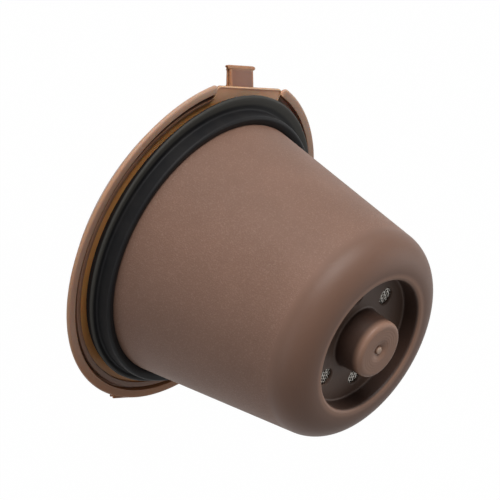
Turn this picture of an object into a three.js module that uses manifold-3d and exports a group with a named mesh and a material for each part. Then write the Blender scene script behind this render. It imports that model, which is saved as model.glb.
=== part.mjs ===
// A refillable coffee pod: a tapering cup that stands nose up on its closed, hinged lid.
// Millimetres, +Z from the lid's outer face to the nose, origin at the middle of that face.
// The hinge is on the +X side and its axis runs along Y.
import * as THREE from 'three';
import { mergeVertices } from 'three/addons/utils/BufferGeometryUtils.js';
import Module from 'manifold-3d';

const wasm = await Module();
wasm.setup();

// Clearances
const fitGap = 0.2;               // between pieces that rest on each other
const swingGap = 0.3;             // between the lid and the cup where the lid swings

// Heights of the flange and what is under it
const flangeUnder = 2.42;         // the flange's lid side, over the lid's outer face
const flangeThick = 0.32;
const beadHeight = 0.13;          // the bead on the flange, over its thin inner part
const flangeTop = flangeUnder + flangeThick;

// Cup wall
const cupFootRadius = 14.62;      // outside of the wall where it leaves the flange
const wallTaper = 0.137;          // radius lost for each mm of height
const wall = 1.0;
const noseHeight = 27.7;          // the flat ring round the recess
const noseFillet = 3.5;
const recessRadius = 7.25;
const recessDepth = 2.1;
const recessEdgeRound = 0.45;
const recessFloorRound = 0.25;
const floorThick = 0.6;           // of the recess floor, over the inlet mesh
const noseWall = 1.1;

// Boss in the recess
const bossRadius = 3.1;
const bossDraft = 0.15;           // how much wider the boss is at its foot
const bossHeight = 3.25;          // over the recess floor
const bossEdgeRound = 0.5;
const bossCoreRadius = 1.9;
const bossEndThick = 1.2;
const dimpleRadius = 1.5;
const dimpleDepth = 0.35;
const nubRadius = 0.35;
const nubHeight = 0.3;
const nubFlare = 0.1;             // how much wider the nub is at its foot
const nubShoulder = 0.6;          // share of the nub's height where its end begins

// Inlet holes in the recess floor
const inletCount = 6;
const inletPitchRadius = 5.2;
const inletRadius = 0.95;

// Flange
const flangeReach = 2.63;          // of the flange's round edge, past the wall's foot
const flangeRadius = cupFootRadius + flangeReach;
const beadWidth = 0.95;
const beadInnerRadius = flangeRadius - beadWidth;
const hingeEdgeReach = 0.1;       // of the flange's straight edge, past the round one
const hingeEdge = flangeRadius + hingeEdgeReach;
const hingeTabHalfWidth = 5.5;    // the flange between the ends of the lid's lip
const reliefShift = 0.5;          // the flange stands back towards the hinge, so that the lip can swing

// Lid
const lipReach = 1.25;            // of the lip's outer edge, past the flange
const lipRadius = flangeRadius + lipReach;
const lipTop = 3.0;
const lipEdge = 0.5;              // thickness of the lip's outer edge
const lipCrestRound = 0.1;
const lipFootFillet = 0.3;        // inside, where the lip meets the lid's inner face
const lipEdgeStart = -50;         // degrees, where the round edge leaves the slope under the lip
const lipEndHalfWidth = 5.8;      // the lip is left out nearer the hinge than this
const lipRootInset = 0.5;         // where the slope under the lip meets the lid's rim
const lipRootRadius = flangeRadius - lipRootInset;
const rimUnder = 1.3;             // the lid side of that rim, over the outer face
const hubInset = 0.32;            // of the raised disc that the pod stands on, from the wall's foot
const hubRadius = cupFootRadius - hubInset;
const hubRound = 0.3;
const hubFillet = 0.2;            // between the raised disc and the rim round it
const rimDraft = 0.1;             // the rim's lid side rises this much outwards
const rimStep = 0.3;
const lidThick = 0.9;             // of the disc round the window
const plugHeight = 1.7;           // of the ring that goes into the mouth
const plugWall = 0.9;
const plugDraft = 0.1;
const plugLeadHeight = 0.2;       // the slope at the plug ring's end, which finds the mouth
const plugLeadDepth = 0.3;
const windowInset = 4.1;          // of the window, from the raised disc's edge
const windowRadius = hubRadius - windowInset;
const windowHubRadius = 2.4;
const windowRing = 6.1;           // radius of the ring between the two rows of window
const windowBar = 1.1;            // width of the ring and the spokes
const spokeCount = 6;
const spokeDepth = 0.9;           // how deep the spokes are, from the lid's outer face
const thumbReach = 0.05;          // the thumb tab's straight edge, over the lip's radius
const thumbHalfWidth = 3.6;       // its corners stand out of the round lip
const thumbThick = 0.6;
const thumbDrop = 0.1;            // the tab's top, under the lip's top
const thumbRoot = 0.9;            // how far the tab reaches into the lip

// Hinge
const strapHalfWidth = 2.0;
const strapThick = 0.34;
const strapTip = 0.22;            // thickness of a strap half beside the film
const hingeStand = 0.3;           // of the hinge axis, past the lip
const hingeReach = lipRadius + hingeStand;
const hingeHeight = 0.53;
const filmRadius = 0.13;
const filmHalfWidth = 2.4;
const cupLugInset = 1.05;         // of the lug that carries the cup's strap half, under the flange
const cupLugInner = flangeRadius - cupLugInset;
const cupLugThick = 0.75;
const cupStrapHeight = 1.74;      // upper side of that half where it leaves the lug
const lidStrapUnder = 0.28;       // the lid's strap half, over the outer face
const lidLugRound = 0.6;          // how far the lid's lug slopes into its strap half
const lidLugRoot = 1;             // how far the lug reaches into the raised disc
const lidLugRise = 0.2;           // the lug's top, over the lid side of the rim

// Sealing ring
const sealLipReach = 2.03;        // past the wall's foot
const sealLipRadius = cupFootRadius + sealLipReach;
const sealFootReach = 1.23;
const sealFootRadius = cupFootRadius + sealFootReach;
const sealFaceHeight = 1.0;       // the flat face of the outer lip, over the ring's foot
const sealLipThick = 0.45;
const sealFootDraft = 0.1;
const sealFaceDish = 0.05;        // the face falls this much towards the collar
const collarReach = 0.68;
const collarRadius = cupFootRadius + collarReach;
const collarHeight = 2.5;         // over the ring's foot
const collarRound = 0.3;

// Filter meshes
const meshThick = 0.2;
const inletMeshInner = 2.7;
const inletMeshOuter = 7.9;
const inletGapPitch = 1.7;
const inletGapSize = 1.0;
const outletMeshInset = 3.22;     // from the wall's foot
const outletMeshOuter = cupFootRadius - outletMeshInset;
const outletGapPitch = 2.6;
const outletGapSize = 1.6;

// Fineness of round surfaces
const roundSteps = 60;
const inletSteps = 20;
const filmSteps = 12;
const arcSteps = 3;
const weldDistance = 1e-5;

// How far a cutting shape runs past what it cuts
const overcut = 1;

// A closed geometry becomes a solid that can be joined and cut.
function solid(geometry) {
  const bare = geometry.index ? geometry.toNonIndexed() : geometry.clone();
  bare.deleteAttribute('normal');
  bare.deleteAttribute('uv');
  const merged = mergeVertices(bare, weldDistance);
  return new wasm.Manifold(new wasm.Mesh({
    numProp: 3,
    vertProperties: new Float32Array(merged.attributes.position.array),
    triVerts: new Uint32Array(merged.index.array),
  }));
}

// The finished solid becomes a named mesh.
function piece(name, body, material) {
  const out = body.getMesh();
  const geometry = new THREE.BufferGeometry();
  geometry.setAttribute('position', new THREE.BufferAttribute(new Float32Array(out.vertProperties), 3));
  geometry.setIndex(new THREE.BufferAttribute(new Uint32Array(out.triVerts), 1));
  geometry.computeVertexNormals();
  const mesh = new THREE.Mesh(geometry, material);
  mesh.name = name;
  return mesh;
}

// Points of an arc in the radius and height plane, from one angle to another in degrees.
function arc(radius, height, size, from, to) {
  const points = [];
  for (let i = 0; i <= arcSteps; i += 1) {
    const angle = THREE.MathUtils.degToRad(from + (to - from) * i / arcSteps);
    points.push([radius + size * Math.cos(angle), height + size * Math.sin(angle)]);
  }
  return points;
}

// A profile of [radius, height] points, anticlockwise with the radius to the right, turned round Z.
function turned(profile) {
  const points = profile.map(([radius, height]) => new THREE.Vector2(Math.max(radius, 0), height));
  if (profile[0][0] > 0) {
    points.push(points[0].clone());
  }
  const geometry = new THREE.LatheGeometry(points, roundSteps);
  geometry.rotateX(Math.PI / 2);
  return solid(geometry);
}

function cylinder(radius, low, high, steps = roundSteps) {
  const geometry = new THREE.CylinderGeometry(radius, radius, high - low, steps);
  geometry.rotateX(Math.PI / 2);
  geometry.translate(0, 0, (low + high) / 2);
  return solid(geometry);
}

function block(x0, x1, y0, y1, z0, z1) {
  const geometry = new THREE.BoxGeometry(x1 - x0, y1 - y0, z1 - z0);
  geometry.translate((x0 + x1) / 2, (y0 + y1) / 2, (z0 + z1) / 2);
  return solid(geometry);
}

// An outline of [x, z] points, drawn out along Y to both sides of the middle.
function slab(outline, halfWidth) {
  const shape = new THREE.Shape(outline.map(([x, z]) => new THREE.Vector2(x, z)));
  const geometry = new THREE.ExtrudeGeometry(shape, { depth: 2 * halfWidth, bevelEnabled: false });
  geometry.rotateX(Math.PI / 2);
  geometry.translate(0, halfWidth, 0);
  return solid(geometry);
}

// Outside radius of the cup's wall at a height.
function wallRadius(height) {
  return cupFootRadius - wallTaper * (height - flangeTop);
}

const recessFloor = noseHeight - recessDepth;
const innerFloor = recessFloor - floorThick;
const mouthRadius = wallRadius(flangeTop) - wall;

// Where a round of this size touches both the tapering wall and a flat top.
function cornerRound(topHeight, size, inset) {
  const taper = Math.atan(wallTaper);
  const height = topHeight - size;
  const radius = wallRadius(height) - (inset + size) / Math.cos(taper);
  return arc(radius, height, size, THREE.MathUtils.radToDeg(taper), 90);
}

// The cup's wall, nose, recess and boss, without the flange.
function cupShell() {
  const bossFoot = bossRadius + bossDraft;
  const bossTop = recessFloor + bossHeight;
  const outside = [
    [wallRadius(flangeTop), flangeUnder],
    [wallRadius(flangeTop), flangeTop],
    ...cornerRound(noseHeight, noseFillet, 0),
    ...arc(recessRadius + recessEdgeRound, noseHeight - recessEdgeRound, recessEdgeRound, 90, 180),
    ...arc(recessRadius - recessFloorRound, recessFloor + recessFloorRound, recessFloorRound, 0, -90),
    ...arc(bossFoot + recessFloorRound, recessFloor + recessFloorRound, recessFloorRound, 270, 180),
    ...arc(bossRadius - bossEdgeRound, bossTop - bossEdgeRound, bossEdgeRound, 0, 90),
    [dimpleRadius, bossTop],
    [nubRadius + nubFlare, bossTop - dimpleDepth],
    [nubRadius, bossTop - dimpleDepth + nubHeight * nubShoulder],
    [0, bossTop - dimpleDepth + nubHeight],
  ];
  const inside = [
    [0, bossTop - dimpleDepth - bossEndThick],
    [bossCoreRadius, bossTop - dimpleDepth - bossEndThick],
    [bossCoreRadius, innerFloor],
    [recessRadius + noseWall, innerFloor],
    [recessRadius + noseWall, noseHeight - noseWall - recessEdgeRound],
    ...cornerRound(noseHeight - noseWall, noseFillet - noseWall, wall).reverse(),
    [mouthRadius, flangeTop],
    [mouthRadius, flangeUnder],
  ];
  return turned([...outside, ...inside]);
}

// The flat plate of the flange: a disc, standing back near the hinge, with a straight edged tab.
function flangePlate(low, high, radius) {
  const disc = cylinder(radius, low, high);
  const relief = cylinder(radius + fitGap, low, high).translate([-reliefShift, 0, 0]);
  return disc.intersect(relief);
}

function cup() {
  const mouth = cylinder(mouthRadius, flangeUnder - overcut, flangeTop + overcut);
  const tab = cylinder(lipRadius, flangeUnder, flangeTop)
    .intersect(block(0, hingeEdge, -hingeTabHalfWidth, hingeTabHalfWidth, flangeUnder, flangeTop));
  const bead = flangePlate(flangeTop - flangeThick / 2, flangeTop + beadHeight, flangeRadius)
    .subtract(cylinder(beadInnerRadius, flangeUnder, flangeTop + overcut))
    .subtract(block(0, lipRadius, -lipEndHalfWidth, lipEndHalfWidth, flangeUnder, flangeTop + overcut));
  const lugTop = flangeUnder + flangeThick / 2;
  const lugOuter = cupLugInner + cupLugThick;
  const tipX = hingeReach - filmRadius - fitGap / 2;
  const tipTop = hingeHeight + strapTip + fitGap / 2;
  const strap = slab([
    [cupLugInner, lugTop],
    [cupLugInner, cupStrapHeight],
    [cupLugInner + strapThick, cupStrapHeight - strapThick / 2],
    [tipX, tipTop - strapTip],
    [tipX, tipTop],
    [lugOuter, cupStrapHeight],
    [lugOuter, lugTop],
  ], strapHalfWidth);
  let body = cupShell()
    .add(flangePlate(flangeUnder, flangeTop, flangeRadius).subtract(mouth))
    .add(tab.subtract(mouth))
    .add(bead)
    .add(strap);
  for (let i = 0; i < inletCount; i += 1) {
    const angle = (i + 0.5) * 2 * Math.PI / inletCount;
    const hole = cylinder(inletRadius, innerFloor - overcut, recessFloor + overcut, inletSteps);
    body = body.subtract(hole.translate([
      inletPitchRadius * Math.cos(angle),
      inletPitchRadius * Math.sin(angle),
      0,
    ]));
  }
  return body;
}

// The silicone ring: a foot, a flat outer lip and a raised collar against the wall.
function sealingRing() {
  const foot = flangeTop + fitGap;
  const face = foot + sealFaceHeight;
  const top = foot + collarHeight;
  const lipMiddle = face - sealLipThick / 2;
  return turned([
    [wallRadius(foot) + fitGap, foot],
    [sealFootRadius, foot],
    [sealFootRadius + sealFootDraft, face - sealLipThick],
    ...arc(sealLipRadius - sealLipThick / 2, lipMiddle, sealLipThick / 2, -90, 90),
    [collarRadius, face - sealFaceDish],
    ...arc(collarRadius - collarRound, top - collarRound, collarRound, 0, 90),
    [wallRadius(top) + fitGap, top],
  ]);
}

// The lid's disc with its sloping lip, plug ring and raised hub, before the window is cut.
function lidDisc() {
  const inner = flangeUnder - swingGap;
  const lipInner = flangeRadius + swingGap;
  const plugOuter = mouthRadius - swingGap;
  const plugTop = inner + plugHeight;
  return turned([
    [0, 0],
    ...arc(hubRadius - hubRound, hubRound, hubRound, -90, 0),
    [hubRadius, rimUnder - hubFillet],
    [lipRootRadius - rimStep, rimUnder - rimDraft],
    [lipRootRadius, rimUnder],
    ...arc(lipRadius - lipEdge / 2, lipTop - lipEdge / 2, lipEdge / 2, lipEdgeStart, 90),
    [lipInner + lipCrestRound, lipTop],
    [lipInner, lipTop - lipCrestRound],
    [lipInner, inner + lipCrestRound],
    [lipInner - lipFootFillet, inner],
    [plugOuter, inner],
    [plugOuter - plugDraft, plugTop - plugLeadHeight],
    [plugOuter - plugLeadDepth, plugTop],
    [plugOuter - plugWall, plugTop],
    [plugOuter - plugWall, lidThick],
    [0, lidThick],
  ]);
}

// The ring and spokes that the window leaves standing.
function windowBars() {
  const low = -overcut;
  const high = spokeDepth;
  let bars = cylinder(windowHubRadius, low, high);
  bars = bars.add(cylinder(windowRing + windowBar / 2, low, high)
    .subtract(cylinder(windowRing - windowBar / 2, low - overcut, high + overcut)));
  for (let i = 0; i < spokeCount; i += 1) {
    const spoke = block(0, windowRadius + overcut, -windowBar / 2, windowBar / 2, low, high);
    bars = bars.add(spoke.rotate([0, 0, (i + 0.5) * 360 / spokeCount]));
  }
  return bars;
}

function lid() {
  const past = lipRadius + overcut;
  const over = lipTop + overcut;
  const gapCut = block(mouthRadius + wall, past, -lipEndHalfWidth, lipEndHalfWidth,
    flangeUnder - swingGap, over);
  const edgeCut = block(lipRootRadius, past, -lipEndHalfWidth, lipEndHalfWidth, -overcut, over);
  const window = cylinder(windowRadius, -overcut, lidThick + overcut);
  const thumbTop = lipTop - thumbDrop;
  const thumb = block(-lipRadius - thumbReach, thumbRoot - lipRadius,
    -thumbHalfWidth, thumbHalfWidth, thumbTop - thumbThick, thumbTop);
  const notchHalf = strapHalfWidth + swingGap;
  const notch = block(cupLugInner - swingGap, past, -notchHalf, notchHalf, lidStrapUnder, over);
  const tipX = hingeReach - filmRadius - fitGap / 2;
  const lugInner = hubRadius - lidLugRoot;
  const lugTop = rimUnder + lidLugRise;
  const lugOuter = cupLugInner - swingGap;
  const lug = slab([
    [lugInner, lidStrapUnder],
    [tipX, lidStrapUnder],
    [tipX, lidStrapUnder + strapTip],
    [lugOuter + lidLugRound, lidStrapUnder + strapThick],
    [lugOuter, lidStrapUnder + strapThick + lidLugRound / 2],
    [lugOuter, lugTop],
    [lugInner, lugTop],
  ], strapHalfWidth);
  return lidDisc()
    .subtract(gapCut)
    .subtract(edgeCut)
    .subtract(notch)
    .subtract(window.subtract(windowBars()))
    .add(thumb)
    .add(lug);
}

// The fold between the strap halves, a thin bar that tapers at both ends, along the hinge axis.
function hingeFilm() {
  const taper = filmHalfWidth - strapHalfWidth;
  const points = [
    [0, -filmHalfWidth],
    [filmRadius / 2, -filmHalfWidth],
    [filmRadius, -filmHalfWidth + taper],
    [filmRadius, filmHalfWidth - taper],
    [filmRadius / 2, filmHalfWidth],
    [0, filmHalfWidth],
  ].map(([radius, along]) => new THREE.Vector2(radius, along));
  const geometry = new THREE.LatheGeometry(points, filmSteps);
  geometry.translate(hingeReach, 0, hingeHeight);
  return solid(geometry);
}

// A thin round sheet with a grid of square gaps between two radii.
function gridSheet(inner, outer, pitch, gap, low) {
  const high = low + meshThick;
  let sheet = cylinder(outer, low, high);
  if (inner > 0) {
    sheet = sheet.subtract(cylinder(inner, low - overcut, high + overcut));
  }
  const count = Math.floor(outer / pitch);
  const margin = gap * Math.SQRT1_2 + (pitch - gap) / 2;
  const half = gap / 2;
  for (let i = -count; i <= count; i += 1) {
    for (let j = -count; j <= count; j += 1) {
      const x = i * pitch;
      const y = j * pitch;
      const reach = Math.hypot(x, y);
      if (reach + margin < outer && (inner === 0 || reach - margin > inner)) {
        sheet = sheet.subtract(block(
          x - half, x + half, y - half, y + half, low - overcut, high + overcut,
        ));
      }
    }
  }
  return sheet;
}

const brownPlastic = new THREE.MeshStandardMaterial({ color: 0x6f5548, roughness: 0.55, metalness: 0 });
const thinPlastic = new THREE.MeshStandardMaterial({ color: 0x8a6046, roughness: 0.5, metalness: 0 });
const blackSilicone = new THREE.MeshStandardMaterial({ color: 0x1d1d1f, roughness: 0.5, metalness: 0 });
const steelWire = new THREE.MeshStandardMaterial({ color: 0xc8c4bc, roughness: 0.3, metalness: 1 });

const pod = new THREE.Group();
pod.add(piece('cup', cup(), brownPlastic));
pod.add(piece('sealing_ring', sealingRing(), blackSilicone));
pod.add(piece('inlet_mesh', gridSheet(inletMeshInner, inletMeshOuter, inletGapPitch, inletGapSize,
  innerFloor - fitGap - meshThick), steelWire.clone()));
pod.add(piece('lid', lid(), brownPlastic.clone()));
pod.add(piece('outlet_mesh', gridSheet(0, outletMeshOuter, outletGapPitch, outletGapSize,
  lidThick + fitGap), steelWire));
pod.add(piece('hinge_film', hingeFilm(), thinPlastic));

export default pod;
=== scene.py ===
import math

import bmesh
import bpy
from mathutils import Matrix, Vector


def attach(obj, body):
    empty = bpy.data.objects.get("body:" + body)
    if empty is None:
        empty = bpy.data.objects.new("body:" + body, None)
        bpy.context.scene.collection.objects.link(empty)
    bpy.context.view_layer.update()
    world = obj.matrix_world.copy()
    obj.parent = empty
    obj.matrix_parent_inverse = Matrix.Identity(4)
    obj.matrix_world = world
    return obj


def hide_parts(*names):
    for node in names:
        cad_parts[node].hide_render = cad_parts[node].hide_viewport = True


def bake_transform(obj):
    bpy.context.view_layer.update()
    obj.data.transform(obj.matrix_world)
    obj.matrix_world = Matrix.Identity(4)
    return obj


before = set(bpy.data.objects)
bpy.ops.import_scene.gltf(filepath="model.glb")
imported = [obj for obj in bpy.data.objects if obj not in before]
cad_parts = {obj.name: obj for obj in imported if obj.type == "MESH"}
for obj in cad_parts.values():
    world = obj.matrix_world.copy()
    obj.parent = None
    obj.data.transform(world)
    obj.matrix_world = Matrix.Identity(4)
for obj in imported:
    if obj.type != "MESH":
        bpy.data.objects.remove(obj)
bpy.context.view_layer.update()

# All lengths below are millimetres in the part's frame; MM turns them into metres.
MM = 0.001
ROUND_STEPS = 256
ARC_STEPS = 10
ON_AXIS = 1e-6

# Camera, as fitted to the photograph
CAMERA_TARGET = (1.973, -0.633, 9.397)
CAMERA_DISTANCE = 374.68
CAMERA_AZIMUTH = 162.2
CAMERA_ELEVATION = 32.14
CAMERA_ROLL = 120.73
CAMERA_LENS = 260.4

# Clearances and heights of the flange
FIT_GAP = 0.2
SWING_GAP = 0.3
FLANGE_UNDER = 2.42
FLANGE_THICK = 0.32
FLANGE_TOP = FLANGE_UNDER + FLANGE_THICK
BEAD_HEIGHT = 0.13

# Cup
CUP_FOOT_RADIUS = 14.62
WALL_TAPER = 0.137
WALL = 1.0
NOSE_HEIGHT = 27.7
NOSE_FILLET = 3.5
NOSE_WALL = 1.1
RECESS_RADIUS = 7.25
RECESS_DEPTH = 2.1
RECESS_EDGE_ROUND = 0.45
RECESS_FLOOR_ROUND = 0.25
FLOOR_THICK = 0.3
BOSS_RADIUS = 3.1
BOSS_DRAFT = 0.15
BOSS_HEIGHT = 3.25
BOSS_EDGE_ROUND = 0.5
BOSS_CORE_RADIUS = 1.9
BOSS_END_THICK = 1.2
DIMPLE_RADIUS = 1.5
DIMPLE_DEPTH = 0.35
NUB_RADIUS = 0.42
NUB_HEIGHT = 0.32
INLET_COUNT = 6
INLET_PITCH_RADIUS = 5.2
INLET_RADIUS = 0.95
RECESS_FLOOR = NOSE_HEIGHT - RECESS_DEPTH
INNER_FLOOR = RECESS_FLOOR - FLOOR_THICK

# The recess and the boss's side are darker below this, up to the boss's rounded end, with painted shade;
# they are smoother there too
BOSS_SHADE_TOP = 28.55
BOSS_SHADE_LOW = 27.7

# Flange
FLANGE_RADIUS = 17.25
FLANGE_EDGE_ROUND = 0.1
BEAD_INNER_RADIUS = 16.65
HINGE_EDGE = 17.35
HINGE_TAB_HALF_WIDTH = 5.6
RELIEF_SHIFT = 0.5

# Lid
LIP_RADIUS = 18.5
LIP_TOP = 3.0
LIP_EDGE = 0.5
LIP_END_HALF_WIDTH = 5.8
LIP_ROOT_RADIUS = 16.75
RIM_UNDER = 1.3
HUB_RADIUS = 14.3
HUB_ROUND = 0.3
LID_THICK = 0.9
PLUG_HEIGHT = 1.7
PLUG_WALL = 0.9
WINDOW_RADIUS = 10.2
WINDOW_HUB_RADIUS = 2.4
WINDOW_RING = 6.1
WINDOW_BAR = 1.1
BAR_CHAMFER = 0.08
SPOKE_COUNT = 6
THUMB_REACH = 0.05
THUMB_HALF_WIDTH = 3.6
THUMB_THICK = 0.6

# Hinge
STRAP_HALF_WIDTH = 2.0
STRAP_THICK = 0.34
STRAP_TIP = 0.22
HINGE_REACH = 18.8
HINGE_HEIGHT = 0.53
FILM_RADIUS = 0.13
FILM_HALF_WIDTH = 2.4
FOLD_THICK = 0.14
FOLD_FLAT = 0.35
FOLD_BEND = 0.27
CUP_LUG_INNER = 16.2
CUP_LUG_THICK = 0.75
CUP_STRAP_HEIGHT = 1.74
LID_STRAP_UNDER = 0.28

# Sealing ring
SEAL_FOOT = FLANGE_TOP + FIT_GAP
SEAL_LIP_RADIUS = 16.5
SEAL_FOOT_RADIUS = 15.85
SEAL_FACE_HEIGHT = 1.0
SEAL_LIP_LEAN = 0.45
SEAL_LIP_THICK = 0.45
COLLAR_RADIUS = 15.3
COLLAR_HEIGHT = 2.5
COLLAR_ROUND = 0.3

# Filter meshes
WIRE_RADIUS = 0.055
WIRE_PITCH = 0.36
WIRE_SIDES = 6
INLET_MESH_RADIUS = 7.9
INLET_MESH_INNER_RADIUS = 2.7
OUTLET_MESH_RADIUS = 11.4

# Stage
FLOOR_REACH = 4000.0
FLOOR_WHITE = 0.993
WORLD_LIGHT = 0.2
WORLD_SEEN = 0.65
LAMP_AIM_HEIGHT = 14


def wall_radius(height):
    """Outside radius of the cup's wall at a height."""
    return CUP_FOOT_RADIUS - WALL_TAPER * (height - FLANGE_TOP)


MOUTH_RADIUS = wall_radius(FLANGE_TOP) - WALL


# Mesh helpers

def new_object(name, vertices, faces):
    """A mesh object made of points in millimetres."""
    mesh = bpy.data.meshes.new(name)
    mesh.from_pydata([[c * MM for c in v] for v in vertices], [], faces)
    mesh.update()
    thing = bpy.data.objects.new(name, mesh)
    bpy.context.scene.collection.objects.link(thing)
    return thing


def arc(radius, height, size, start, end, steps=ARC_STEPS):
    """Points of an arc in the radius and height plane, angles in degrees."""
    points = []
    for i in range(steps + 1):
        angle = math.radians(start + (end - start) * i / steps)
        points.append((radius + size * math.cos(angle), height + size * math.sin(angle)))
    return points


def line(start, end, steps):
    """Points along a straight line, without its last one."""
    return [tuple(a + (b - a) * i / steps for a, b in zip(start, end)) for i in range(steps)]


def turned(name, profile, steps=ROUND_STEPS):
    """A profile of (radius, height), turned round Z. It closes on itself or ends on the axis."""
    vertices = []
    rings = []
    for radius, height in profile:
        if radius < ON_AXIS:
            rings.append([len(vertices)])
            vertices.append((0.0, 0.0, height))
            continue
        ring = []
        for i in range(steps):
            angle = 2 * math.pi * i / steps
            ring.append(len(vertices))
            vertices.append((radius * math.cos(angle), radius * math.sin(angle), height))
        rings.append(ring)
    closed = profile[0][0] > ON_AXIS
    pairs = list(zip(rings, rings[1:])) + ([(rings[-1], rings[0])] if closed else [])
    faces = []
    for a, b in pairs:
        for i in range(steps):
            j = (i + 1) % steps
            if len(a) == 1 and len(b) == 1:
                continue
            if len(a) == 1:
                faces.append((a[0], b[j], b[i]))
            elif len(b) == 1:
                faces.append((a[i], a[j], b[0]))
            else:
                faces.append((a[i], a[j], b[j], b[i]))
    return new_object(name, vertices, faces)


def lofted(name, sections):
    """A closed solid through sections with equal numbers of points."""
    count = len(sections[0])
    vertices = [p for section in sections for p in section]
    faces = [tuple(reversed(range(count)))]
    for k in range(len(sections) - 1):
        for i in range(count):
            j = (i + 1) % count
            a, b = k * count, (k + 1) * count
            faces.append((a + i, a + j, b + j, b + i))
    last = (len(sections) - 1) * count
    faces.append(tuple(last + i for i in range(count)))
    thing = new_object(name, vertices, faces)
    turn_out(thing)
    return thing


def turn_out(thing):
    """Faces point out."""
    shape = bmesh.new()
    shape.from_mesh(thing.data)
    bmesh.ops.recalc_face_normals(shape, faces=shape.faces)
    shape.to_mesh(thing.data)
    shape.free()


def rounded_plate(name, outline, low, high, size, steps=3):
    """A flat plate of an XY outline, with rounded edges at the top and bottom."""
    count = len(outline)
    inward = []
    for i in range(count):
        before, after = outline[i - 1], outline[(i + 1) % count]
        along = Vector((after[0] - before[0], after[1] - before[1]))
        along.normalize()
        inward.append((-along.y, along.x))
    levels = []
    for i in range(steps + 1):
        angle = math.pi / 2 * (1 - i / steps)
        levels.append((low + size * (1 - math.sin(angle)), size * (1 - math.cos(angle))))
    levels.reverse()
    upper = [(low + high - z, inset) for z, inset in reversed(levels)]
    sections = []
    for z, inset in levels + upper:
        sections.append([
            (p[0] + n[0] * inset, p[1] + n[1] * inset, z) for p, n in zip(outline, inward)
        ])
    return lofted(name, sections)


def boolean(thing, tools, operation):
    """Joins or cuts a closed mesh with others, which go."""
    for tool in tools:
        step = thing.modifiers.new(operation, "BOOLEAN")
        step.operation = operation
        step.solver = "MANIFOLD"
        step.object = tool
    graph = bpy.context.evaluated_depsgraph_get()
    made = bpy.data.meshes.new_from_object(thing.evaluated_get(graph))
    thing.modifiers.clear()
    thing.data = made
    for tool in tools:
        bpy.data.objects.remove(tool)
    return thing


def smooth(thing, angle=35):
    """Smooth shading, with edges sharper than the angle kept."""
    thing.data.shade_smooth()
    thing.data.set_sharp_from_angle(angle=math.radians(angle))
    return thing


# Cup

def corner_round(top, size, inset):
    """The round that touches both the tapering wall and a flat top."""
    taper = math.atan(WALL_TAPER)
    height = top - size
    radius = wall_radius(height) - (inset + size) / math.cos(taper)
    return arc(radius, height, size, math.degrees(taper), 90, 3 * ARC_STEPS)


def cup_shell():
    """The cup's wall, nose, recess and boss, turned from one profile."""
    boss_top = RECESS_FLOOR + BOSS_HEIGHT
    boss_foot = BOSS_RADIUS + BOSS_DRAFT
    nose = corner_round(NOSE_HEIGHT, NOSE_FILLET, 0)
    edge = RECESS_EDGE_ROUND
    foot = RECESS_FLOOR_ROUND
    outside = [
        (wall_radius(FLANGE_TOP), FLANGE_UNDER),
        *line((wall_radius(FLANGE_TOP), FLANGE_TOP), nose[0], 24),
        *nose,
        *arc(RECESS_RADIUS + edge, NOSE_HEIGHT - edge, edge, 90, 180),
        *arc(RECESS_RADIUS - foot, RECESS_FLOOR + foot, foot, 0, -90),
        *line((RECESS_RADIUS - foot - 0.05, RECESS_FLOOR), (boss_foot + foot + 0.05, RECESS_FLOOR), 8),
        *arc(boss_foot + foot, RECESS_FLOOR + foot, foot, 270, 180),
        *arc(BOSS_RADIUS - BOSS_EDGE_ROUND, boss_top - BOSS_EDGE_ROUND, BOSS_EDGE_ROUND, 0, 90),
        *boss_end(boss_top),
    ]
    core_top = boss_top - DIMPLE_DEPTH - BOSS_END_THICK
    inside = [
        (0, core_top),
        (BOSS_CORE_RADIUS, core_top),
        (BOSS_CORE_RADIUS, INNER_FLOOR),
        (RECESS_RADIUS + NOSE_WALL, INNER_FLOOR),
        (RECESS_RADIUS + NOSE_WALL, NOSE_HEIGHT - NOSE_WALL - edge),
        *reversed(corner_round(NOSE_HEIGHT - NOSE_WALL, NOSE_FILLET - NOSE_WALL, WALL)),
        (MOUTH_RADIUS, FLANGE_TOP),
        (MOUTH_RADIUS, FLANGE_UNDER),
    ]
    return turned("cup_body", outside + inside)


def boss_end(top):
    """The boss's end: a flat ring, faint turned rings, a shallow dimple and the gate's nub."""
    points = []
    steps = 28
    outer = BOSS_RADIUS - BOSS_EDGE_ROUND
    for i in range(1, steps):
        radius = outer + (NUB_RADIUS + 0.12 - outer) * i / steps
        fall = max(0.0, min(1.0, (DIMPLE_RADIUS - radius) / (DIMPLE_RADIUS - NUB_RADIUS)))
        ripple = 0.007 * math.sin(radius * 2 * math.pi / 0.3)
        points.append((radius, top - DIMPLE_DEPTH * fall * fall + ripple))
    low = top - DIMPLE_DEPTH
    points += [
        (NUB_RADIUS, low + 0.02),
        (NUB_RADIUS - 0.02, low + NUB_HEIGHT * 0.6),
        (NUB_RADIUS * 0.75, low + NUB_HEIGHT * 0.9),
        (NUB_RADIUS * 0.35, low + NUB_HEIGHT),
        (0, low + NUB_HEIGHT),
    ]
    return points


def disc_reach(angle):
    """The flange's round edge, which stands back towards the hinge, where the lid's lip swings."""
    relief = FLANGE_RADIUS + FIT_GAP
    shifted = -RELIEF_SHIFT * math.cos(angle)
    shifted += math.sqrt(relief ** 2 - (RELIEF_SHIFT * math.sin(angle)) ** 2)
    return min(FLANGE_RADIUS, shifted)


def disc_points(start, end, steps):
    """Points of the flange's round edge between two angles."""
    angles = [start + (end - start) * i / steps for i in range(steps + 1)]
    return [(disc_reach(a) * math.cos(a), disc_reach(a) * math.sin(a)) for a in angles]


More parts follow.
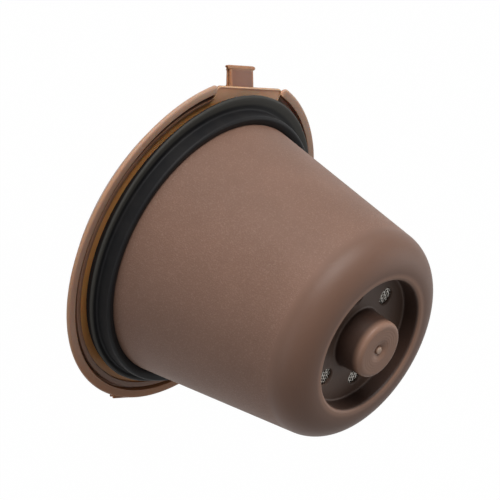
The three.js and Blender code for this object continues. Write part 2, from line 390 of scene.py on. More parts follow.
def flange_outline():
    """The round edge, with a straight edged tab between the ends of the lid's lip."""
    half = HINGE_TAB_HALF_WIDTH
    corner = 0.5
    start = math.asin(half / FLANGE_RADIUS)
    outline = disc_points(start, 2 * math.pi - start, 220)
    for first in (-90, 0):
        sign = 1 if first == 0 else -1
        for i in range(7):
            angle = math.radians(first + 15 * i)
            outline.append((
                HINGE_EDGE - corner + corner * math.cos(angle),
                sign * (half - corner) + corner * math.sin(angle),
            ))
    return outline


def swept_ring(name, profile, start, end, steps, cap):
    """A closed profile swept round Z between two angles in degrees, with rounded ends."""
    middle = [sum(p[k] for p in profile) / len(profile) for k in (0, 1)]
    reach = math.radians(end - start) * middle[0]
    stations = []
    cap_steps = 8
    for i in range(cap_steps):
        angle = math.pi / 2 * i / cap_steps
        stations.append((cap * (1 - math.cos(angle)) / reach, max(0.02, math.sin(angle))))
    body = [(cap / reach + (1 - 2 * cap / reach) * i / steps, 1.0) for i in range(steps + 1)]
    tail = [(1 - t, s) for t, s in reversed(stations)]
    sections = []
    for t, scale in stations + body + tail:
        angle = math.radians(start + (end - start) * t)
        section = []
        for radius, height in profile:
            r = middle[0] + (radius - middle[0]) * scale
            z = middle[1] + (height - middle[1]) * scale
            section.append((r * math.cos(angle), r * math.sin(angle), z))
        sections.append(section)
    return lofted(name, sections)


def bead():
    """The raised bead along the flange's edge, with rounded ends beside the hinge."""
    end_angle = math.degrees(math.asin((LIP_END_HALF_WIDTH + 0.2) / FLANGE_RADIUS))
    outer = FLANGE_RADIUS - 0.02
    low = FLANGE_UNDER + 0.05
    high = FLANGE_TOP + BEAD_HEIGHT
    rounding = 0.1
    profile = [
        (BEAD_INNER_RADIUS - 0.05, low),
        (outer, low),
        *arc(outer - rounding, high - rounding, rounding, 0, 90, 4),
        *arc(BEAD_INNER_RADIUS + rounding, high - rounding, rounding, 90, 180, 4),
    ]
    ring = swept_ring("bead", profile, end_angle, 360 - end_angle, 220, 0.4)
    outline = disc_points(0, 2 * math.pi, 240)[:-1]
    relief = rounded_plate("bead_relief", outline, 0, 6, 0.01, 1)
    return boolean(ring, [relief], "INTERSECT")


def path_normal(path, k):
    """Unit normal of a path of (x, z, thickness) at one of its points."""
    before = path[max(k - 1, 0)]
    after = path[min(k + 1, len(path) - 1)]
    along = Vector((after[0] - before[0], after[1] - before[1]))
    along.normalize()
    return -along.y, along.x


def strap(name, path, half_width):
    """A flat strap along a path of (x, z, thickness), with rounded edges."""
    sections = []
    for k, (x, z, thick) in enumerate(path):
        normal = path_normal(path, k)
        half = thick / 2
        rounding = half * 0.7
        section = []
        for corner, (sy, sn) in enumerate(((1, 1), (-1, 1), (-1, -1), (1, -1))):
            for i in range(4):
                angle = math.radians(90 * corner + 30 * i)
                y = sy * (half_width - rounding) + rounding * math.cos(angle)
                n = sn * (half - rounding) + rounding * math.sin(angle)
                section.append((x + normal[0] * n, y, z + normal[1] * n))
        sections.append(section)
    return lofted(name, sections)


TIP_X = HINGE_REACH - FILM_RADIUS - FIT_GAP / 2
CUP_TIP_TOP = HINGE_HEIGHT + STRAP_TIP + FIT_GAP / 2


def cup_strap():
    """The cup's half of the hinge strap, from its lug under the flange out to the film."""
    lug_outer = CUP_LUG_INNER + CUP_LUG_THICK
    lug_middle = CUP_LUG_INNER + CUP_LUG_THICK / 2
    start = (lug_outer - 0.1, CUP_STRAP_HEIGHT - STRAP_THICK / 2)
    end = (TIP_X, CUP_TIP_TOP - STRAP_TIP / 2)
    path = [(lug_middle, FLANGE_UNDER + 0.1, CUP_LUG_THICK), (lug_middle, 2.1, CUP_LUG_THICK)]
    path.append((lug_middle + 0.12, 1.8, 0.6))
    steps = 8
    for i in range(steps + 1):
        t = i / steps
        path.append((
            start[0] + (end[0] - start[0]) * t,
            start[1] + (end[1] - start[1]) * t,
            STRAP_THICK + (STRAP_TIP - STRAP_THICK) * t,
        ))
    return strap("cup_strap", path, STRAP_HALF_WIDTH)


def cup():
    """The shell, the flange with its bead and half of the strap, and the inlet holes."""
    body = cup_shell()
    mouth = turned("mouth", [(0, 0), (MOUTH_RADIUS, 0), (MOUTH_RADIUS, 6), (0, 6)])
    plate = rounded_plate("flange", flange_outline(), FLANGE_UNDER, FLANGE_TOP, FLANGE_EDGE_ROUND)
    boolean(plate, [bead(), cup_strap()], "UNION")
    boolean(plate, [mouth], "DIFFERENCE")
    boolean(body, [plate], "UNION")
    holes = []
    chamfer = 0.1
    for i in range(INLET_COUNT):
        angle = (i + 0.5) * 2 * math.pi / INLET_COUNT
        hole = turned("hole", [
            (0, INNER_FLOOR - 1),
            (INLET_RADIUS, INNER_FLOOR - 1),
            (INLET_RADIUS, RECESS_FLOOR - chamfer),
            (INLET_RADIUS + chamfer + 0.1, RECESS_FLOOR + 0.1),
            (0, RECESS_FLOOR + 0.1),
        ], 40)
        place = Vector((math.cos(angle), math.sin(angle), 0)) * INLET_PITCH_RADIUS * MM
        hole.data.transform(Matrix.Translation(place))
        holes.append(hole)
    boolean(body, holes, "DIFFERENCE")
    return smooth(body)


# Sealing ring

def sealing_ring():
    """Black silicone: a foot, a flat outer lip with a dished face and a collar round the wall."""
    foot = FLANGE_TOP + 0.01
    face = SEAL_FOOT + SEAL_FACE_HEIGHT
    top = SEAL_FOOT + COLLAR_HEIGHT
    half = SEAL_LIP_THICK / 2
    touch = 0.03
    ring = turned("sealing_ring_body", [
        (wall_radius(foot) + touch, foot),
        (SEAL_FOOT_RADIUS - 0.1, foot),
        (SEAL_FOOT_RADIUS, foot + 0.1),
        (SEAL_FOOT_RADIUS + 0.1, face - SEAL_LIP_THICK - 0.05),
        (SEAL_FOOT_RADIUS + 0.25, face - SEAL_LIP_THICK),
        *arc(SEAL_LIP_RADIUS - half, face - half, half, -90, 90),
        (SEAL_LIP_RADIUS - half - 0.25, face - 0.04),
        (COLLAR_RADIUS + 0.35, face - 0.12),
        *arc(COLLAR_RADIUS + 0.2, face + 0.06, 0.2, 270, 180, 5),
        *arc(COLLAR_RADIUS - COLLAR_ROUND, top - COLLAR_ROUND, COLLAR_ROUND, 0, 110),
        (wall_radius(top) + 0.25, top - 0.14),
        (wall_radius(top) + touch, top - 0.3),
    ])
    for vertex in ring.data.vertices:
        x, y, z = (c / MM for c in vertex.co)
        share = max(0.0, min(1.0, (math.hypot(x, y) - COLLAR_RADIUS - 0.2) / 0.7))
        if z > foot + 0.15:
            vertex.co.x += SEAL_LIP_LEAN * MM * share
    return ring


# Woven wire

def woven_disc(name, outer, inner, height, offset=0.5):
    """Two sets of crossing wires that pass over and under each other, cut to a round."""
    vertices = []
    faces = []
    lift = WIRE_RADIUS * 0.95
    count = int(outer / WIRE_PITCH)
    for direction in (0, 1):
        for i in range(-count, count + 1):
            across = (i + offset) * WIRE_PITCH
            if abs(across) >= outer - WIRE_PITCH / 2:
                continue
            half = math.sqrt(outer ** 2 - across ** 2)
            spans = [(-half, half)]
            if abs(across) < inner:
                stop = math.sqrt(inner ** 2 - across ** 2)
                spans = [(-half, -stop), (stop, half)]
            for start, end in spans:
                add_wire(vertices, faces, direction, i, across, start, end, height, lift)
    return new_object(name, vertices, faces)


def add_wire(vertices, faces, direction, index, across, start, end, height, lift):
    """One wire, wavy so that it passes over one crossing wire and under the next."""
    step = WIRE_PITCH / 2
    first = math.ceil(start / step)
    last = math.floor(end / step)
    base = len(vertices)
    rings = 0
    for k in range(first, last + 1):
        along = k * step
        sign = 1 if (index + direction) % 2 == 0 else -1
        wave = sign * lift * math.cos(math.pi * (along / WIRE_PITCH - 0.5))
        for j in range(WIRE_SIDES):
            angle = 2 * math.pi * j / WIRE_SIDES
            side = across + WIRE_RADIUS * math.cos(angle)
            z = height + wave + WIRE_RADIUS * math.sin(angle)
            vertices.append((along, side, z) if direction == 0 else (side, along, z))
        rings += 1
    for k in range(rings - 1):
        for j in range(WIRE_SIDES):
            n = (j + 1) % WIRE_SIDES
            a, b = base + k * WIRE_SIDES, base + (k + 1) * WIRE_SIDES
            quad = (a + j, b + j, b + n, a + n)
            faces.append(quad if direction == 1 else tuple(reversed(quad)))
    if rings:
        near = tuple(base + j for j in range(WIRE_SIDES))
        far = tuple(base + (rings - 1) * WIRE_SIDES + j for j in range(WIRE_SIDES))
        faces.append(near if direction == 1 else tuple(reversed(near)))
        faces.append(tuple(reversed(far)) if direction == 1 else far)


# Lid

def lid_disc():
    """The lid's round plate, open in the middle, with the plug ring."""
    inner = FLANGE_UNDER - SWING_GAP
    plug_outer = MOUTH_RADIUS - SWING_GAP
    plug_top = inner + PLUG_HEIGHT
    plug_inner = plug_outer - PLUG_WALL
    edge = BAR_CHAMFER
    return turned("lid_body", [
        (WINDOW_RADIUS, edge),
        (WINDOW_RADIUS + edge, 0),
        *arc(HUB_RADIUS - HUB_ROUND, HUB_ROUND, HUB_ROUND, -90, 0),
        *arc(HUB_RADIUS + 0.2, RIM_UNDER - 0.4, 0.2, 180, 90, 4),
        (LIP_ROOT_RADIUS - 0.4, RIM_UNDER - 0.1),
        (LIP_ROOT_RADIUS, RIM_UNDER),
        (LIP_ROOT_RADIUS + 0.4, RIM_UNDER + 0.35),
        (LIP_ROOT_RADIUS + 0.5, RIM_UNDER + 0.5),
        (LIP_ROOT_RADIUS + 0.4, inner - 0.1),
        (LIP_ROOT_RADIUS + 0.3, inner),
        (plug_outer, inner),
        (plug_outer - 0.1, plug_top - 0.25),
        *arc(plug_outer - 0.3, plug_top - 0.2, 0.2, 0, 90, 4),
        *arc(plug_inner + 0.15, plug_top - 0.15, 0.15, 90, 180, 4),
        (plug_inner, LID_THICK + 0.15),
        (plug_inner - 0.15, LID_THICK),
        (WINDOW_RADIUS + edge, LID_THICK),
        (WINDOW_RADIUS, LID_THICK - edge),
    ])


def lid_lip():
    """The thin lip that wraps the flange, left out beside the hinge, with rounded ends."""
    inner = FLANGE_UNDER - SWING_GAP
    lip_inner = FLANGE_RADIUS + SWING_GAP
    half = LIP_EDGE / 2
    profile = [
        (LIP_ROOT_RADIUS - 0.2, RIM_UNDER - 0.02),
        (LIP_ROOT_RADIUS, RIM_UNDER),
        *arc(LIP_RADIUS - half, LIP_TOP - half, half, -50, 90, 8),
        *arc(lip_inner + 0.08, LIP_TOP - 0.08, 0.08, 90, 180, 4),
        (lip_inner, inner + 0.12),
        (lip_inner - 0.25, inner),
        (LIP_ROOT_RADIUS - 0.2, inner),
    ]
    end_angle = math.degrees(math.asin(LIP_END_HALF_WIDTH / LIP_RADIUS))
    return swept_ring("lid_lip", profile, end_angle, 360 - end_angle, 240, 0.55)


def bar_profile(inner, outer, low, high):
    """A band between two radii, with small chamfers."""
    edge = BAR_CHAMFER
    return [
        (inner, low + edge), (inner + edge, low), (outer - edge, low), (outer, low + edge),
        (outer, high - edge), (outer - edge, high), (inner + edge, high), (inner, high - edge),
    ]


def window_bars():
    """The hub, the ring and the spokes that stand in the window."""
    high = LID_THICK - 0.01
    edge = BAR_CHAMFER
    hub = [
        (0, 0), (WINDOW_HUB_RADIUS - edge, 0), (WINDOW_HUB_RADIUS, edge),
        (WINDOW_HUB_RADIUS, high - edge), (WINDOW_HUB_RADIUS - edge, high), (0, high),
    ]
    half = WINDOW_BAR / 2
    bars = [
        turned("window_hub", hub, 96),
        turned("window_ring", bar_profile(WINDOW_RING - half, WINDOW_RING + half, 0, high), 192),
    ]
    section = bar_profile(-half, half, 0, high)
    section = section[3::-1] + section[:3:-1]
    sink, squash = 0.02, 0.96
    ends = WINDOW_HUB_RADIUS - 0.3, WINDOW_RADIUS + 0.15
    for i in range(SPOKE_COUNT):
        angle = (i + 0.5) * 2 * math.pi / SPOKE_COUNT
        c, s = math.cos(angle), math.sin(angle)
        bars.append(lofted("spoke", [
            [(r * c - y * s, r * s + y * c, sink + z * squash) for y, z in section] for r in ends
        ]))
    return bars


def thumb_tab():
    """A low tab with a straight edge, opposite the hinge. One end fades into the round lip."""
    outer = LIP_RADIUS + THUMB_REACH - 0.08
    half = THUMB_HALF_WIDTH
    corner = 0.2
    outline = [(-LIP_RADIUS + 0.85, half)]
    steps = 6
    for i in range(steps + 1):
        angle = math.radians(90 + 90 * i / steps)
        outline.append((
            -outer + corner + corner * math.cos(angle),
            half + 0.15 - corner + corner * math.sin(angle),
        ))
    outline += [(-outer, -1.2), (-outer + 0.06, -1.9), (-outer + 0.3, -3.0)]
    outline.append((-LIP_RADIUS + 0.85, -3.2))
    high = LIP_TOP - 0.1
    return rounded_plate("thumb_tab", outline, high - THUMB_THICK, high, 0.12)


def lid_strap():
    """The lid's half of the hinge strap, out to the film."""
    lug_outer = CUP_LUG_INNER - SWING_GAP
    path = [
        (HUB_RADIUS - 1, 0.9, 1.2),
        (lug_outer - 0.3, 0.9, 1.0),
        (lug_outer + 0.1, 1.02, 0.6),
        (lug_outer + 0.5, 1.1, 0.34),
        (CUP_LUG_INNER + CUP_LUG_THICK, 1.12, 0.26),
    ]
    steps = 6
    start = path[-1]
    for i in range(1, steps + 1):
        t = i / steps
        thick = start[2] + (STRAP_TIP - start[2]) * t
        height = start[1] + (LID_STRAP_UNDER + STRAP_TIP / 2 - start[1]) * t
        path.append((start[0] + (TIP_X - start[0]) * t, height, thick))
    return strap("lid_strap", path, STRAP_HALF_WIDTH)


def block(name, x0, x1, y0, y1, z0, z1):
    """A box between two corners."""
    corners = [(x0, y0), (x1, y0), (x1, y1), (x0, y1)]
    return lofted(name, [[(x, y, z) for x, y in corners] for z in (z0, z1)])


def lid():
    """The plate with its lip, cut beside the hinge, the tab, half of the strap and the window's bars."""
    body = lid_disc()
    edge = LIP_END_HALF_WIDTH - 0.3
    side = STRAP_HALF_WIDTH + SWING_GAP
    far, high = LIP_RADIUS + 1, LIP_TOP + 1
    boolean(body, [lid_lip()], "UNION")
    boolean(body, [
        block("edge_cut", LIP_ROOT_RADIUS, far, -edge, edge, -1, high),
        block("notch", CUP_LUG_INNER - SWING_GAP, far, -side, side, LID_STRAP_UNDER, high),
    ], "DIFFERENCE")
    boolean(body, [thumb_tab(), lid_strap(), *window_bars()], "UNION")
    return smooth(body)


# Hinge film

def hinge_fold():
    """The thin film that folds round the strap ends: a bent sheet, wider than the straps."""
    reach = (CUP_TIP_TOP - LID_STRAP_UNDER) / 2 - FOLD_THICK / 2
    middle = (CUP_TIP_TOP + LID_STRAP_UNDER) / 2
    flat_steps = 4
    bend_steps = 16
    points = []
    for i in range(flat_steps + 1):
        points.append((TIP_X - FOLD_FLAT + FOLD_FLAT * i / flat_steps, reach))
    for i in range(1, bend_steps):
        angle = math.radians(90 - 180 * i / bend_steps)
        points.append((TIP_X + FOLD_BEND * math.cos(angle), reach * math.sin(angle)))
    for i in range(flat_steps + 1):
        points.append((TIP_X - FOLD_FLAT * i / flat_steps, -reach))
    path = [(x, middle + z, FOLD_THICK) for x, z in points]
    widths = []
    for x, z, _ in path:
        share = max(0.0, min(1.0, (x - TIP_X + 0.12) / 0.2))
        widths.append(STRAP_HALF_WIDTH - 0.03 + (FILM_HALF_WIDTH - STRAP_HALF_WIDTH) * share)
    return smooth(strap_of_widths("hinge_fold", path, widths), 60)


def strap_of_widths(name, path, widths):
    """A thin strap whose width changes along its path, with sharp tapering edges."""
    taper = 0.35
    sections = []
    for k, ((x, z, thick), half_width) in enumerate(zip(path, widths)):
        normal = path_normal(path, k)
        half = thick / 2
        full = 1 - taper / half_width
        across = [(1, 0.25), (full, 1), (0, 1), (-full, 1), (-1, 0.25)]
        section = []
        for side, points in ((1, across), (-1, across[::-1])):
            for y, share in points:
                out = side * half * share
                section.append((x + normal[0] * out, y * half_width, z + normal[1] * out))
        sections.append(section)
    return lofted(name, sections)


# Materials

class Nodes:
    """Adds nodes to a material's or the world's tree and links them."""

    def __init__(self, tree):
        self.named = tree.nodes
        self.add = tree.nodes.new
        self.link = tree.links.new

    def place(self):
        """A point's place in its piece, in metres."""
        return self.add("ShaderNodeTexCoord").outputs["Object"]

    def split(self, place):
        """X, Y and Z of a place."""
        node = self.add("ShaderNodeSeparateXYZ")
        self.link(place, node.inputs[0])
        return node.outputs["X"], node.outputs["Y"], node.outputs["Z"]

    def noise(self, place, scale, detail=3.0, roughness=0.55):
        node = self.add("ShaderNodeTexNoise")
        node.inputs["Scale"].default_value = scale
        node.inputs["Detail"].default_value = detail
        node.inputs["Roughness"].default_value = roughness
        self.link(place, node.inputs["Vector"])
        return node.outputs["Fac"]

    def ramp(self, value, *stops):
        """A colour ramp of (position, colour) stops."""
        node = self.add("ShaderNodeValToRGB")
        elements = node.color_ramp.elements
        while len(elements) < len(stops):
            elements.new(0.5)
        for element, (position, colour) in zip(elements, stops):
            element.position = position
            element.color = (*colour, 1.0)
        self.link(value, node.inputs["Fac"])
        return node.outputs["Color"]

    def bump(self, height, strength, distance):
        node = self.add("ShaderNodeBump")
        node.inputs["Strength"].default_value = strength
        node.inputs["Distance"].default_value = distance
        self.link(height, node.inputs["Height"])
        return node.outputs["Normal"]

    def math(self, operation, *values):
        node = self.add("ShaderNodeMath")
        node.operation = operation
        for socket, value in zip(node.inputs, values):
            if isinstance(value, (int, float)):
                socket.default_value = value
            else:
                self.link(value, socket)
        return node.outputs[0]

    def product(self, first, *others):
        for other in others:
            first = self.math("MULTIPLY", first, other)
        return first

    def radius(self, x, y):
        """Distance from the part's axis, in metres."""
        return self.math("SQRT", self.math("ADD", self.product(x, x), self.product(y, y)))

    def mix(self, factor, first, second):
        """A mix of two colours."""
        node = self.add("ShaderNodeMix")
        node.data_type = "RGBA"
        self.link(factor, node.inputs["Factor"])
        for socket, value in ((node.inputs["A"], first), (node.inputs["B"], second)):
            if isinstance(value, tuple):
                socket.default_value = (*value, 1.0)
            else:
                self.link(value, socket)
        return node.outputs["Result"]

    def fade(self, value, start, end):
        """0 at one value and 1 at another, in millimetres, eased between them."""
        node = self.add("ShaderNodeMapRange")
        node.interpolation_type = "SMOOTHSTEP"
        node.inputs["From Min"].default_value = start * MM
        node.inputs["From Max"].default_value = end * MM
        self.link(value, node.inputs["Value"])
        return node.outputs["Result"]

    def seen(self):
        """1 for what the camera sees, straight or in a mirroring surface."""
        rays = self.add("ShaderNodeLightPath")
        return self.math("MAXIMUM", rays.outputs["Is Camera Ray"], rays.outputs["Is Glossy Ray"])


def new_material(name):
    """A material, with its tree and its main shader."""
    material = bpy.data.materials.new(name)
    material.use_nodes = True
    tree = Nodes(material.node_tree)
    return material, tree, tree.named["Principled BSDF"]


def set_values(shader, values):
    for name, value in values.items():
        shader.inputs[name].default_value = value


def brown_plastic():
    """Matte moulded plastic: a fine eroded grain on the wall with painted glints, and a smoother nose,
    darkened by painted shade, with painted shade in its recess and painted highlights round the recess's
    edge and on the gate's nub.
    """
    material, tree, shader = new_material("brown_plastic")
    place = tree.place()
    x, y, z = tree.split(place)
    radius = tree.radius(x, y)
    grain = tree.noise(place, 6400, 2.0, 0.6)
    cloud = tree.noise(place, 160)
    nose_foot = NOSE_HEIGHT - NOSE_FILLET

    colour = tree.ramp(cloud, (0.3, (0.166, 0.090, 0.062)), (0.7, (0.190, 0.104, 0.073)))
    # Painted shade: the nose is painted darker than the wall.
    nose = tree.fade(z, nose_foot - 0.2, nose_foot + 0.9)
    colour = tree.mix(nose, colour, (0.150, 0.080, 0.054))
    # Painted highlight: a lighter band on the nose round the recess's edge.
    crest_highlight = tree.product(tree.fade(radius, RECESS_RADIUS + 1.0, RECESS_RADIUS + 0.45), nose, 0.7)
    colour = tree.mix(crest_highlight, colour, (0.30, 0.172, 0.118))

    # Painted shade: the recess walls and the boss's side are painted near black, and the recess floor a
    # little lighter.
    recess = tree.product(
        tree.fade(z, BOSS_SHADE_TOP, BOSS_SHADE_LOW),
        tree.fade(radius, RECESS_RADIUS + 0.2, RECESS_RADIUS + 0.02),
    )
    recess_floor = tree.fade(z, RECESS_FLOOR + 0.2, RECESS_FLOOR + 0.02)
    recess_shade_colour = tree.mix(recess_floor, (0.042, 0.021, 0.014), (0.115, 0.071, 0.052))
    colour = tree.mix(recess, colour, recess_shade_colour)

    # Painted highlight: the gate's nub is painted pale at its tip, where it catches light.
    nub = tree.product(
        tree.fade(radius, NUB_RADIUS, NUB_RADIUS * 0.7),
        tree.fade(z, BOSS_SHADE_TOP, BOSS_SHADE_TOP + 0.15),
    )
    colour = tree.mix(nub, colour, (0.46, 0.33, 0.25))

    on_nose = tree.math("GREATER_THAN", z, nose_foot * MM)
    on_wall = tree.math("SUBTRACT", 1.0, on_nose)
    # Painted glints: pale specks in the wall's grain stand in for the sparkle of light on it.
    painted_glint_speck = tree.ramp(grain, (0.5, (0, 0, 0)), (0.72, (1, 1, 1)))
    colour = tree.mix(tree.product(painted_glint_speck, on_wall, 0.2), colour, (0.42, 0.29, 0.22))
    tree.link(colour, shader.inputs["Base Color"])
    tree.link(tree.math("ADD", tree.product(on_wall, 0.06), 0.5), shader.inputs["Roughness"])
    height = tree.product(grain, tree.math("ADD", on_wall, 0.3))
    tree.link(tree.bump(height, 0.6, 0.00006), shader.inputs["Normal"])
    set_values(shader, {
        "Specular IOR Level": 0.33,
        "Subsurface Weight": 0.06,
        "Subsurface Radius": (1.0, 0.5, 0.3),
        "Subsurface Scale": 0.0006,
    })
    return material


def thin_plastic():
    """The same plastic where it is thin: flange, lip and strap. It lets warm light through by subsurface
    scattering, and its bright orange and tan are painted light that stands in for more of it.
    """
    material, tree, shader = new_material("thin_plastic")
    place = tree.place()
    x, y, z = tree.split(place)
    radius = tree.radius(x, y)
    across = tree.math("ABSOLUTE", y)
    cloud = tree.noise(place, 300)

    # Bands from the sealing ring out over the flange, the bead and the lip. The bright orange on the
    # flange inside the bead is painted light, standing in for light that shines through.
    bands_start, bands_end = 15.5, 19.0
    stretch = tree.add("ShaderNodeMapRange")
    stretch.inputs["From Min"].default_value = bands_start * MM
    stretch.inputs["From Max"].default_value = bands_end * MM
    tree.link(radius, stretch.inputs["Value"])
    bands = tree.ramp(
        stretch.outputs["Result"],
        (0.0, (0.68, 0.275, 0.08)),
        (0.31, (0.68, 0.285, 0.09)),
        (0.34, (0.17, 0.085, 0.052)),
        (0.49, (0.19, 0.095, 0.06)),
        (0.53, (0.42, 0.22, 0.12)),
        (0.575, (0.42, 0.22, 0.12)),
        (0.62, (0.35, 0.215, 0.155)),
        (0.8, (0.35, 0.205, 0.145)),
        (0.86, (0.46, 0.26, 0.155)),
    )
    colour = tree.mix(tree.product(cloud, 0.4), bands, tree.mix(cloud, bands, (0.3, 0.17, 0.11)))

    # Painted light and shade: the lip is paler towards the hinge and darker opposite it.
    lip = tree.fade(radius, 17.4, 17.6)
    colour = tree.mix(tree.product(tree.fade(x, 4, 17), lip), colour, (0.42, 0.265, 0.185))
    colour = tree.mix(tree.product(tree.fade(x, -9, -18), lip), colour, (0.31, 0.133, 0.054))

    # The strap lies under the flange, with warmer edges.
    low, high = FLANGE_UNDER - 0.12, FLANGE_UNDER - 0.02
    strap_area = tree.product(tree.fade(z, high, low), tree.fade(across, 3.2, 2.9))
    strap_edge = tree.math(
        "MAXIMUM",
        tree.fade(across, STRAP_HALF_WIDTH - 0.45, STRAP_HALF_WIDTH - 0.1),
        tree.fade(x, TIP_X - 0.1, TIP_X + 0.1),
    )
    strap_colour = tree.mix(strap_edge, (0.205, 0.088, 0.052), (0.34, 0.16, 0.08))
    colour = tree.mix(strap_area, colour, strap_colour)

    # Painted light: the tab beside the hinge is painted pale tan, standing in for light that shines
    # through it.
    tab = tree.product(
        tree.fade(across, HINGE_TAB_HALF_WIDTH + 0.35, HINGE_TAB_HALF_WIDTH - 0.1),
        tree.fade(x, 15.2, 15.9),
        tree.fade(z, low, high),
    )
    painted_backlight_tan = tree.ramp(cloud, (0.3, (0.60, 0.335, 0.205)), (0.7, (0.66, 0.38, 0.24)))
    tree.link(tree.mix(tab, colour, painted_backlight_tan), shader.inputs["Base Color"])
    grain = tree.noise(place, 4000, 2.0)
    tree.link(tree.bump(grain, 0.2, 0.00002), shader.inputs["Normal"])
    set_values(shader, {
        "Roughness": 0.42,
        "Specular IOR Level": 0.28,
        "Subsurface Weight": 0.35,
        "Subsurface Radius": (1.0, 0.45, 0.2),
        "Subsurface Scale": 0.0008,
    })
    return material


def black_silicone():
    """Satin black rubber, with a painted highlight that greys the rounded top of its lip."""
    material, tree, shader = new_material("black_silicone")
    place = tree.place()
    x, y, z = tree.split(place)
    cloud = tree.noise(place, 420, 4.0)
    face = SEAL_FOOT + SEAL_FACE_HEIGHT
    # Painted highlight: the lip's rounded top is painted greyer.
    crest_highlight = tree.product(
        tree.fade(tree.radius(x, y), SEAL_LIP_RADIUS - 0.75, SEAL_LIP_RADIUS - 0.35),
        tree.fade(z, face - 0.3, face - 0.1),
    )
    colour = tree.ramp(cloud, (0.3, (0.006, 0.006, 0.007)), (0.75, (0.012, 0.011, 0.011)))
    tree.link(tree.mix(crest_highlight, colour, (0.045, 0.043, 0.038)), shader.inputs["Base Color"])
    rough = tree.ramp(cloud, (0.2, (0.5, 0.5, 0.5)), (0.8, (0.6, 0.6, 0.6)))
    tree.link(rough, shader.inputs["Roughness"])
    grain = tree.noise(place, 2600, 2.0)
    tree.link(tree.bump(grain, 0.15, 0.00003), shader.inputs["Normal"])
    set_values(shader, {"Specular IOR Level": 0.16})
    return material


def steel_wire():
    """Bright stainless wire with slight changes of polish."""
    material, tree, shader = new_material("steel_wire")
    cloud = tree.noise(tree.place(), 900)
    colour = tree.ramp(cloud, (0.3, (0.62, 0.58, 0.53)), (0.7, (0.8, 0.77, 0.72)))
    tree.link(colour, shader.inputs["Base Color"])
    rough = tree.ramp(cloud, (0.2, (0.2, 0.2, 0.2)), (0.8, (0.34, 0.34, 0.34)))
    tree.link(rough, shader.inputs["Roughness"])
    set_values(shader, {"Metallic": 1.0})
    return material


# Stage and camera

def add_floor():
    """A pale floor that the camera sees as white, with the pod's shadow kept."""
    reach = FLOOR_REACH
    corners = [(-reach, -reach, 0), (reach, -reach, 0), (reach, reach, 0), (-reach, reach, 0)]
    floor = new_object("floor", corners, [(0, 1, 2, 3)])
    material, tree, shader = new_material("floor")
    set_values(shader, {"Base Color": (0.8, 0.8, 0.8, 1), "Roughness": 0.9})
    glow = tree.add("ShaderNodeEmission")
    set_values(glow, {"Color": (1, 1, 1, 1), "Strength": 1.0})
    mix = tree.add("ShaderNodeMixShader")
    tree.link(tree.product(tree.seen(), FLOOR_WHITE), mix.inputs["Fac"])
    tree.link(shader.outputs[0], mix.inputs[1])
    tree.link(glow.outputs[0], mix.inputs[2])
    tree.link(mix.outputs[0], tree.named["Material Output"].inputs["Surface"])
    floor.data.materials.append(material)


def direction(azimuth, elevation):
    """Unit vector, azimuth anticlockwise from +X, in degrees."""
    a, e = math.radians(azimuth), math.radians(elevation)
    return Vector((math.cos(a) * math.cos(e), math.sin(a) * math.cos(e), math.sin(e)))


def add_lamp(name, azimuth, elevation, distance, size, power):
    """A soft white lamp that points at the pod."""
    lamp = bpy.data.lights.new(name, "AREA")
    lamp.shape = "RECTANGLE"
    lamp.size = size[0] * MM
    lamp.size_y = size[1] * MM
    lamp.energy = power
    thing = bpy.data.objects.new(name, lamp)
    bpy.context.scene.collection.objects.link(thing)
    middle = Vector((0, 0, LAMP_AIM_HEIGHT * MM))
    aim = direction(azimuth, elevation)
    thing.location = middle + aim * distance * MM
    thing.rotation_mode = "QUATERNION"
    thing.rotation_quaternion = aim.to_track_quat("Z", "Y")


def add_light():
    """A white world, brighter where it is seen or mirrored than where it lights, and three lamps."""
    world = bpy.data.worlds.new("studio")
    bpy.context.scene.world = world
    world.use_nodes = True
    tree = Nodes(world.node_tree)
    strength = tree.add("ShaderNodeMapRange")
    strength.inputs["To Min"].default_value = WORLD_LIGHT
    strength.inputs["To Max"].default_value = WORLD_SEEN
    tree.link(tree.seen(), strength.inputs["Value"])
    back = tree.named["Background"]
    back.inputs["Color"].default_value = (1, 1, 1, 1)
    tree.link(strength.outputs["Result"], back.inputs["Strength"])
    add_lamp("key", 25, 14, 320, (260, 120), 1.0)
    add_lamp("fill", 110, 12, 420, (400, 120), 0.3)
    add_lamp("rim", -70, 30, 420, (300, 160), 0.3)


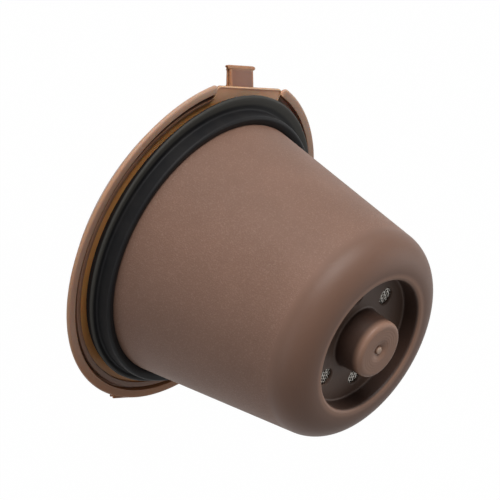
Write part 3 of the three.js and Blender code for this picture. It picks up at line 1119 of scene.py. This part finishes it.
def add_camera():
    """The camera that was fitted to the photograph, with its roll."""
    camera = bpy.data.cameras.new("camera")
    camera.lens = CAMERA_LENS
    camera.sensor_width = 36.0
    camera.clip_start = 0.01
    camera.clip_end = 20.0
    thing = bpy.data.objects.new("camera", camera)
    bpy.context.scene.collection.objects.link(thing)
    a, e = math.radians(CAMERA_AZIMUTH), math.radians(CAMERA_ELEVATION)
    back = Vector((math.sin(a) * math.cos(e), -math.cos(a) * math.cos(e), math.sin(e)))
    thing.location = (Vector(CAMERA_TARGET) + back * CAMERA_DISTANCE) * MM
    level = (-back).to_track_quat("-Z", "Y").to_matrix()
    roll = Matrix.Rotation(math.radians(CAMERA_ROLL), 3, back)
    thing.rotation_mode = "QUATERNION"
    thing.rotation_quaternion = (roll @ level).to_quaternion()
    bpy.context.scene.camera = thing


def dress(thing, body, material, node):
    """Gives a piece its material and body, and hides the CAD node whose place it takes."""
    thing.data.materials.clear()
    thing.data.materials.append(material)
    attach(thing, body)
    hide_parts(node)
    return thing


def thin_faces(thing, material, test):
    """Gives a second material to the faces whose corners all pass the test, in millimetres."""
    thing.data.materials.append(material)
    passed = [test(*(c / MM for c in vertex.co)) for vertex in thing.data.vertices]
    for face in thing.data.polygons:
        if all(passed[i] for i in face.vertices):
            face.material_index = 1


bpy.context.scene.view_settings.view_transform = "Standard"
add_camera()

brown = brown_plastic()
thin = thin_plastic()
silicone = black_silicone()
steel = steel_wire()

cup_body = dress(cup(), "cup", brown, "cup")
thin_faces(cup_body, thin, lambda x, y, z: z < SEAL_FOOT)
lid_body = dress(lid(), "lid", brown, "lid")
thin_faces(lid_body, thin, lambda x, y, z: math.hypot(x, y) > LIP_ROOT_RADIUS - 0.5)
dress(smooth(sealing_ring()), "cup", silicone, "sealing_ring")

inlet_height = INNER_FLOOR - 2 * WIRE_RADIUS - 0.02
inlet = woven_disc("inlet_weave", INLET_MESH_RADIUS, INLET_MESH_INNER_RADIUS, inlet_height)
dress(smooth(inlet, 80), "cup", steel, "inlet_mesh")
outlet = woven_disc("outlet_weave", OUTLET_MESH_RADIUS, 0.0, LID_THICK + FIT_GAP)
dress(smooth(outlet, 80), "lid", steel, "outlet_mesh")

fold = hinge_fold()
fold.data.materials.append(thin)
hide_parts("hinge_film")
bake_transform(fold)

add_floor()
add_light()
